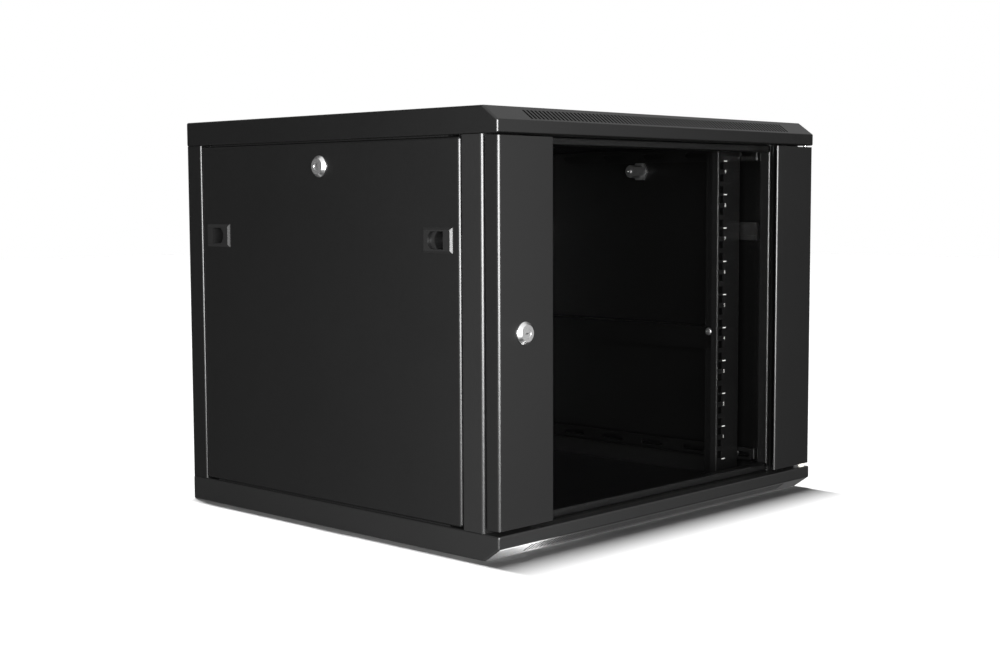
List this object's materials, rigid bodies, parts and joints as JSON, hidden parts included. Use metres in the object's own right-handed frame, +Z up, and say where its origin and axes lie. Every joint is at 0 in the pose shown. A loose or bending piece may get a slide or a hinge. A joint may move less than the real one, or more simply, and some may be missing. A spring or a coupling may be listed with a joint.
{
  "type": "wall mount network cabinet",
  "caption": "Wall mount network cabinet with a glazed locking front door, lift-off locking side panels, vented top and bottom covers, and square-hole rails for 19-inch equipment.",
  "frame": {"origin": "middle of the base, at the centre of the outline of the closed cabinet with its lock heads", "axes": "+X to the right seen from the front, +Y from the glazed door to the wall, +Z up"},
  "size_m": [0.609, 0.5544, 0.485],
  "materials": {
    "black_powder_coat": "satin, fine orange-peel texture",
    "black_rail_coat": "satin powder coat",
    "zinc_plated_steel": "bright zinc plate",
    "chromed_zinc": "polished",
    "tempered_glass": "clear, lightly smoked",
    "black_abs": "fine moulded texture",
    "white_nylon": "moulded",
    "black_foam_tape": "matt"
  },
  "bodies": {
    "cabinet": {"bottom_cover": "black_powder_coat", "top_cover": "black_powder_coat", "bottom_cable_plate": "black_powder_coat", "top_cable_plate": "black_powder_coat", "front_post_left": "black_powder_coat", "front_post_right": "black_powder_coat", "rear_post_left": "black_powder_coat", "rear_post_right": "black_powder_coat", "door_sill": "black_powder_coat", "door_header": "black_powder_coat", "rear_panel": "black_powder_coat", "lower_bracket_left": "black_powder_coat", "lower_bracket_right": "black_powder_coat", "upper_bracket_left": "black_powder_coat", "upper_bracket_right": "black_powder_coat", "mid_bar_left": "black_powder_coat", "mid_bar_right": "black_powder_coat", "rack_rail_left": "black_rail_coat", "rack_rail_right": "black_rail_coat", "rail_screws": "zinc_plated_steel", "rail_nuts": "zinc_plated_steel", "frame_screws": "zinc_plated_steel", "rear_panel_screws": "zinc_plated_steel", "cable_plate_screws": "zinc_plated_steel", "foot_weld_nuts": "zinc_plated_steel", "hinge_bushes": "white_nylon"},
    "door": {"door_stile_left": "black_powder_coat", "door_stile_right": "black_powder_coat", "door_liner_left": "black_powder_coat", "door_liner_right": "black_powder_coat", "door_end_plates": "black_powder_coat", "door_glass": "tempered_glass", "glass_tapes": "black_foam_tape", "hinge_pins": "zinc_plated_steel", "hinge_brackets": "zinc_plated_steel", "door_lock_body": "chromed_zinc", "door_lock_nut": "zinc_plated_steel"},
    "door_lock": {"door_lock_plug": "chromed_zinc", "door_lock_cam": "zinc_plated_steel", "door_lock_cam_screw": "zinc_plated_steel"},
    "left_panel": {"side_panel_left": "black_powder_coat", "left_panel_lock_body": "chromed_zinc", "left_panel_lock_nut": "zinc_plated_steel", "left_latch_housings": "black_abs"},
    "left_panel_lock": {"left_panel_lock_plug": "chromed_zinc", "left_panel_lock_cam": "zinc_plated_steel", "left_panel_lock_cam_screw": "zinc_plated_steel"},
    "left_latch_front": {"left_latch_slider_front": "black_abs"},
    "left_latch_rear": {"left_latch_slider_rear": "black_abs"},
    "right_panel": {"side_panel_right": "black_powder_coat", "right_panel_lock_body": "chromed_zinc", "right_panel_lock_nut": "zinc_plated_steel", "right_latch_housings": "black_abs"},
    "right_panel_lock": {"right_panel_lock_plug": "chromed_zinc", "right_panel_lock_cam": "zinc_plated_steel", "right_panel_lock_cam_screw": "zinc_plated_steel"},
    "right_latch_front": {"right_latch_slider_front": "black_abs"},
    "right_latch_rear": {"right_latch_slider_rear": "black_abs"}
  },
  "joints": [
    {"name": "door_hinge", "type": "hinge", "parent": "cabinet", "child": "door", "pos_m": [0.292, -0.26525, 0.244], "axis": [0, 0, 1], "range_deg": [0, 180]},
    {"name": "door_lock_turn", "type": "hinge", "parent": "door", "child": "door_lock", "pos_m": [-0.259, -0.27275, 0.244], "axis": [0, -1, 0], "range_deg": [0, 90]},
    {"name": "left_panel_off", "type": "slide", "parent": "cabinet", "child": "left_panel", "axis": [-1, 0, 0], "range_m": [0, 0.12]},
    {"name": "left_lock_turn", "type": "hinge", "parent": "left_panel", "child": "left_panel_lock", "pos_m": [-0.3, 0.01425, 0.4254], "axis": [-1, 0, 0], "range_deg": [0, 90]},
    {"name": "left_front_latch_slide", "type": "slide", "parent": "left_panel", "child": "left_latch_front", "axis": [0, -1, 0], "range_m": [0, 0.0075]},
    {"name": "left_rear_latch_slide", "type": "slide", "parent": "left_panel", "child": "left_latch_rear", "axis": [0, 1, 0], "range_m": [0, 0.0075]},
    {"name": "right_panel_off", "type": "slide", "parent": "cabinet", "child": "right_panel", "axis": [1, 0, 0], "range_m": [0, 0.12]},
    {"name": "right_lock_turn", "type": "hinge", "parent": "right_panel", "child": "right_panel_lock", "pos_m": [0.3, 0.01425, 0.4254], "axis": [-1, 0, 0], "range_deg": [0, 90]},
    {"name": "right_front_latch_slide", "type": "slide", "parent": "right_panel", "child": "right_latch_front", "axis": [0, -1, 0], "range_m": [0, 0.0075]},
    {"name": "right_rear_latch_slide", "type": "slide", "parent": "right_panel", "child": "right_latch_rear", "axis": [0, 1, 0], "range_m": [0, 0.0075]}
  ]
}
